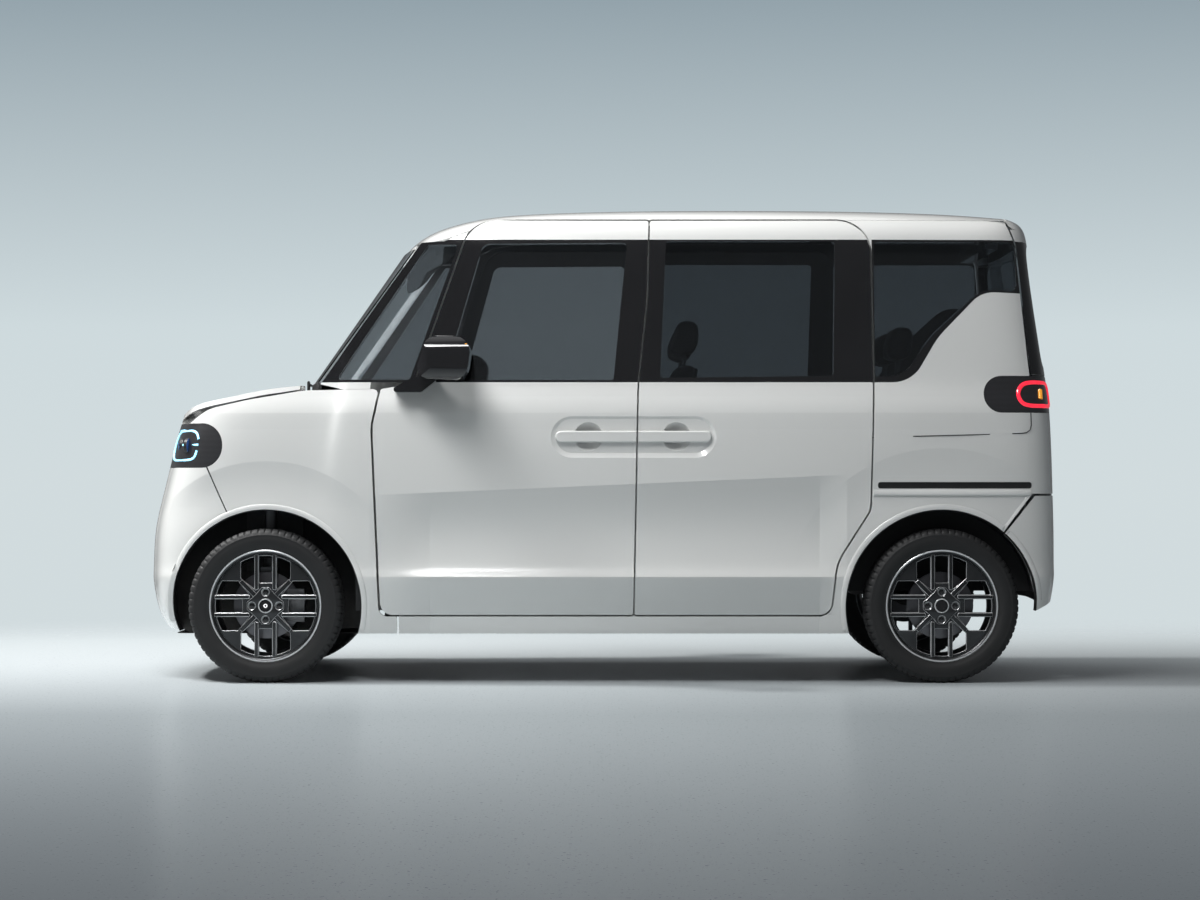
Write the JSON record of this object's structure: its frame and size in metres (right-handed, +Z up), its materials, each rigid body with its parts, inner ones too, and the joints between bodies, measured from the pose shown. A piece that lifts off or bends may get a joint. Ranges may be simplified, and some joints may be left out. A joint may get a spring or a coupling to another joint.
{
  "type": "kei car",
  "caption": "Small tall-bodied passenger car with swinging front doors, sliding rear doors, a lifting tailgate and bonnet, and steered front wheels that roll.",
  "frame": {"origin": "bottom centre of the car's box, on the ground under its middle", "axes": "+X to the tail, +Y to the car's right side, +Z up; the picture looks along +Y at the left side"},
  "size_m": [3.3968, 1.85, 1.763],
  "materials": {
    "body_paint": "gloss",
    "gloss_black": "gloss",
    "black_trim": "matt, fine grain",
    "glass_clear": "clear",
    "glass_dark": "dark tint",
    "lamp_front": "clear cover over black",
    "lamp_rear": "dark red lens",
    "tyre_rubber": "matt",
    "wheel_alloy": "machined and dark grey paint",
    "chassis_steel": "black coated",
    "bare_steel": "bare, worn",
    "case_metal": "cast",
    "seat_cloth": "woven",
    "carpet": "short pile",
    "soft_trim": "soft grain"
  },
  "bodies": {
    "shell": {"battery": "case_metal", "corner_glass": "glass_clear", "cowl": "black_trim", "dashboard": "soft_trim", "drive_unit": "case_metal", "fender_l": "body_paint", "fender_r": "body_paint", "floor": "carpet", "front_bumper": "body_paint", "front_chassis": "chassis_steel", "front_liners": "black_trim", "front_seats": "seat_cloth", "headlamps": "lamp_front", "quarter_glass": "glass_dark", "rear_axle": "chassis_steel", "rear_bumper": "body_paint", "rear_seat": "seat_cloth", "roof": "body_paint", "side_frame_l": "body_paint", "side_frame_r": "body_paint", "slide_door_glass": "glass_dark", "slide_door_l": "body_paint", "slide_door_r": "body_paint", "tail_lamps": "lamp_rear", "windscreen": "glass_clear", "wipers": "black_trim", "slide_sashes": "gloss_black", "pillar_covers": "gloss_black", "slide_handles": "body_paint", "slide_rails": "black_trim", "grille": "black_trim"},
    "door_l": {"front_door_l": "body_paint", "front_door_glass_l": "glass_clear", "mirror_l": "gloss_black", "front_sash_l": "gloss_black", "door_handle_l": "body_paint"},
    "door_r": {"front_door_r": "body_paint", "front_door_glass_r": "glass_clear", "mirror_r": "gloss_black", "front_sash_r": "gloss_black", "door_handle_r": "body_paint"},
    "bonnet_lid": {"bonnet": "body_paint"},
    "tailgate_lid": {"tailgate": "body_paint", "tailgate_glass": "glass_dark", "tailgate_cover": "gloss_black"},
    "steering_wheel": {"steering_wheel": "soft_trim"},
    "knuckle_l": {"knuckle_l": "bare_steel"},
    "knuckle_r": {"knuckle_r": "bare_steel"},
    "wheel_fl": {"wheel_front_l": "wheel_alloy", "tyre_front_l": "tyre_rubber"},
    "wheel_fr": {"wheel_front_r": "wheel_alloy", "tyre_front_r": "tyre_rubber"},
    "wheel_rl": {"wheel_rear_l": "wheel_alloy", "tyre_rear_l": "tyre_rubber"},
    "wheel_rr": {"wheel_rear_r": "wheel_alloy", "tyre_rear_r": "tyre_rubber"}
  },
  "joints": [
    {"name": "steering_turn", "type": "hinge", "parent": "shell", "child": "steering_wheel", "pos_m": [-0.57415, 0.325, 0.99279], "axis": [0.9135, 0, 0.4067], "range_deg": [-525, 525]},
    {"name": "steer_l", "type": "hinge", "parent": "shell", "child": "knuckle_l", "pos_m": [-1.2205, -0.585, 0.188], "axis": [0, 0.1186, 0.9929], "range_deg": [-35, 35]},
    {"name": "steer_r", "type": "hinge", "parent": "shell", "child": "knuckle_r", "pos_m": [-1.2205, 0.585, 0.188], "axis": [0, -0.1186, 0.9929], "range_deg": [-35, 35]},
    {"name": "wheel_fl_spin", "type": "hinge", "parent": "knuckle_l", "child": "wheel_fl", "pos_m": [-1.2205, -0.65, 0.281], "axis": [0, -1, 0], "continuous": true},
    {"name": "wheel_fr_spin", "type": "hinge", "parent": "knuckle_r", "child": "wheel_fr", "pos_m": [-1.2205, 0.65, 0.281], "axis": [0, -1, 0], "continuous": true},
    {"name": "wheel_rl_spin", "type": "hinge", "parent": "shell", "child": "wheel_rl", "pos_m": [1.2465, -0.65, 0.281], "axis": [0, -1, 0], "continuous": true},
    {"name": "wheel_rr_spin", "type": "hinge", "parent": "shell", "child": "wheel_rr", "pos_m": [1.2465, 0.65, 0.281], "axis": [0, -1, 0], "continuous": true},
    {"name": "door_l_swing", "type": "hinge", "parent": "shell", "child": "door_l", "pos_m": [-0.75899, -0.717, 0.78], "axis": [0, 0, -1], "range_deg": [0, 65]},
    {"name": "door_r_swing", "type": "hinge", "parent": "shell", "child": "door_r", "pos_m": [-0.75899, 0.717, 0.78], "axis": [0, 0, 1], "range_deg": [0, 65]},
    {"name": "bonnet_lift", "type": "hinge", "parent": "shell", "child": "bonnet_lid", "pos_m": [-1.10261, 0, 1.07835], "axis": [0, 1, 0], "range_deg": [0, 45]},
    {"name": "tailgate_lift", "type": "hinge", "parent": "shell", "child": "tailgate_lid", "pos_m": [1.5401, 0, 1.7027], "axis": [0, -1, 0], "range_deg": [0, 80]}
  ],
  "couplings": [
    {"joint": "steer_l", "follows": "steering_turn", "ratio": 0.066667},
    {"joint": "steer_r", "follows": "steering_turn", "ratio": 0.066667}
  ]
}
